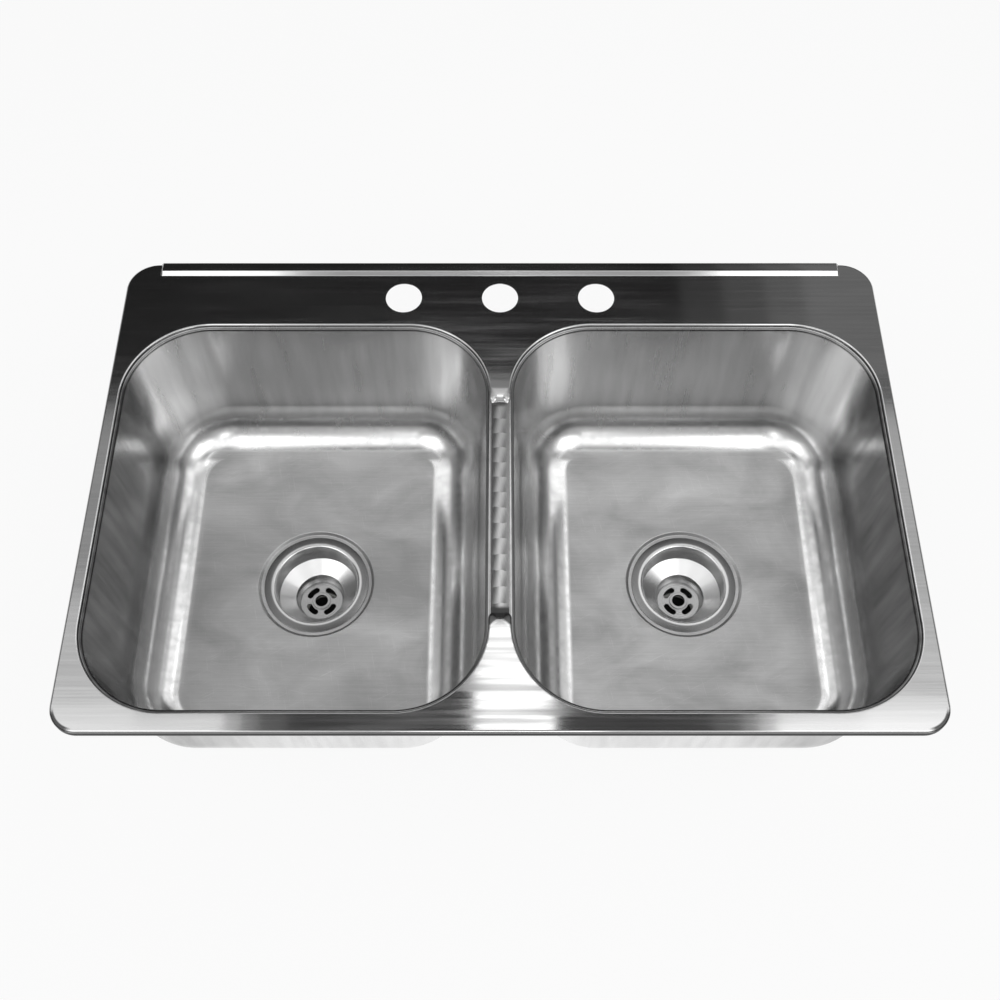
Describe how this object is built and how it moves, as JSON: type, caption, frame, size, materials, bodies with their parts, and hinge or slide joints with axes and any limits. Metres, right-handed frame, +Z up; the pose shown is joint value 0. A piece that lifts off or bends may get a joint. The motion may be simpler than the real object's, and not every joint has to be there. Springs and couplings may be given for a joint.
{
  "type": "double bowl kitchen sink",
  "caption": "Drop-in stainless kitchen sink with two equal bowls, rear tap ledge, drain fittings and swing-out clamps under the rim.",
  "frame": {"origin": "centre of the rim's footprint in the plane of the worktop", "axes": "+X to the right along the width, +Y to the back, where the tap holes are, +Z up"},
  "size_m": [0.794, 0.521, 0.2602],
  "materials": {
    "deck_steel": "stainless sheet, brushed along its width",
    "bowl_steel": "stainless sheet, satin",
    "saddle_steel": "ground seam with overlapping crescent marks",
    "drain_steel": "polished stainless",
    "seal_foam": "closed-cell foam",
    "damping_rubber": "matt sheet rubber",
    "gasket_rubber": "moulded rubber",
    "fibre": "pressed fibre",
    "cast_zinc": "die-cast zinc, plain",
    "washer_plastic": "moulded",
    "nut_plastic": "moulded",
    "zinc_steel": "bright zinc plate"
  },
  "bodies": {
    "root": {"deck": "deck_steel", "divider_saddle": "saddle_steel", "rim_seal": "seal_foam", "clamp_studs": "zinc_steel", "left_bowl": "bowl_steel", "left_sound_pad": "damping_rubber", "left_strainer_body": "drain_steel", "left_strainer_grid": "drain_steel", "left_drain_gasket": "gasket_rubber", "left_friction_ring": "fibre", "left_drain_locknut": "cast_zinc", "left_tailpiece_washer": "washer_plastic", "left_coupling_nut": "nut_plastic", "right_bowl": "bowl_steel", "right_sound_pad": "damping_rubber", "right_strainer_body": "drain_steel", "right_strainer_grid": "drain_steel", "right_drain_gasket": "gasket_rubber", "right_friction_ring": "fibre", "right_drain_locknut": "cast_zinc", "right_tailpiece_washer": "washer_plastic", "right_coupling_nut": "nut_plastic"},
    "front_left_nut": {"front_left_wing_nut": "zinc_steel"},
    "front_left_clamp": {"front_left_foot": "zinc_steel"},
    "front_middle_nut": {"front_middle_wing_nut": "zinc_steel"},
    "front_middle_clamp": {"front_middle_foot": "zinc_steel"},
    "front_right_nut": {"front_right_wing_nut": "zinc_steel"},
    "front_right_clamp": {"front_right_foot": "zinc_steel"},
    "side_left_nut": {"side_left_wing_nut": "zinc_steel"},
    "side_left_clamp": {"side_left_foot": "zinc_steel"},
    "side_right_nut": {"side_right_wing_nut": "zinc_steel"},
    "side_right_clamp": {"side_right_foot": "zinc_steel"},
    "rear_outer_left_nut": {"rear_outer_left_wing_nut": "zinc_steel"},
    "rear_outer_left_clamp": {"rear_outer_left_foot": "zinc_steel"},
    "rear_inner_left_nut": {"rear_inner_left_wing_nut": "zinc_steel"},
    "rear_inner_left_clamp": {"rear_inner_left_foot": "zinc_steel"},
    "rear_inner_right_nut": {"rear_inner_right_wing_nut": "zinc_steel"},
    "rear_inner_right_clamp": {"rear_inner_right_foot": "zinc_steel"},
    "rear_outer_right_nut": {"rear_outer_right_wing_nut": "zinc_steel"},
    "rear_outer_right_clamp": {"rear_outer_right_foot": "zinc_steel"}
  },
  "joints": [
    {"name": "front_left_nut_rise", "type": "slide", "parent": "root", "child": "front_left_nut", "axis": [0, 0, 1], "range_m": [0, 0.022]},
    {"name": "front_left_foot_swing", "type": "hinge", "parent": "front_left_nut", "child": "front_left_clamp", "pos_m": [-0.372, -0.232, -0.04], "axis": [0, 0, 1], "range_deg": [-90, 0]},
    {"name": "front_middle_nut_rise", "type": "slide", "parent": "root", "child": "front_middle_nut", "axis": [0, 0, 1], "range_m": [0, 0.022]},
    {"name": "front_middle_foot_swing", "type": "hinge", "parent": "front_middle_nut", "child": "front_middle_clamp", "pos_m": [0, -0.232, -0.04], "axis": [0, 0, 1], "range_deg": [-90, 0]},
    {"name": "front_right_nut_rise", "type": "slide", "parent": "root", "child": "front_right_nut", "axis": [0, 0, 1], "range_m": [0, 0.022]},
    {"name": "front_right_foot_swing", "type": "hinge", "parent": "front_right_nut", "child": "front_right_clamp", "pos_m": [0.372, -0.232, -0.04], "axis": [0, 0, 1], "range_deg": [0, 90]},
    {"name": "side_left_nut_rise", "type": "slide", "parent": "root", "child": "side_left_nut", "axis": [0, 0, 1], "range_m": [0, 0.022]},
    {"name": "side_left_foot_swing", "type": "hinge", "parent": "side_left_nut", "child": "side_left_clamp", "pos_m": [-0.372, 0.156, -0.04], "axis": [0, 0, 1], "range_deg": [0, 90]},
    {"name": "side_right_nut_rise", "type": "slide", "parent": "root", "child": "side_right_nut", "axis": [0, 0, 1], "range_m": [0, 0.022]},
    {"name": "side_right_foot_swing", "type": "hinge", "parent": "side_right_nut", "child": "side_right_clamp", "pos_m": [0.372, 0.156, -0.04], "axis": [0, 0, 1], "range_deg": [-90, 0]},
    {"name": "rear_outer_left_nut_rise", "type": "slide", "parent": "root", "child": "rear_outer_left_nut", "axis": [0, 0, 1], "range_m": [0, 0.022]},
    {"name": "rear_outer_left_foot_swing", "type": "hinge", "parent": "rear_outer_left_nut", "child": "rear_outer_left_clamp", "pos_m": [-0.3, 0.236, -0.04], "axis": [0, 0, 1], "range_deg": [-90, 0]},
    {"name": "rear_inner_left_nut_rise", "type": "slide", "parent": "root", "child": "rear_inner_left_nut", "axis": [0, 0, 1], "range_m": [0, 0.022]},
    {"name": "rear_inner_left_foot_swing", "type": "hinge", "parent": "rear_inner_left_nut", "child": "rear_inner_left_clamp", "pos_m": [-0.18, 0.236, -0.04], "axis": [0, 0, 1], "range_deg": [-90, 0]},
    {"name": "rear_inner_right_nut_rise", "type": "slide", "parent": "root", "child": "rear_inner_right_nut", "axis": [0, 0, 1], "range_m": [0, 0.022]},
    {"name": "rear_inner_right_foot_swing", "type": "hinge", "parent": "rear_inner_right_nut", "child": "rear_inner_right_clamp", "pos_m": [0.18, 0.236, -0.04], "axis": [0, 0, 1], "range_deg": [0, 90]},
    {"name": "rear_outer_right_nut_rise", "type": "slide", "parent": "root", "child": "rear_outer_right_nut", "axis": [0, 0, 1], "range_m": [0, 0.022]},
    {"name": "rear_outer_right_foot_swing", "type": "hinge", "parent": "rear_outer_right_nut", "child": "rear_outer_right_clamp", "pos_m": [0.3, 0.236, -0.04], "axis": [0, 0, 1], "range_deg": [0, 90]}
  ]
}
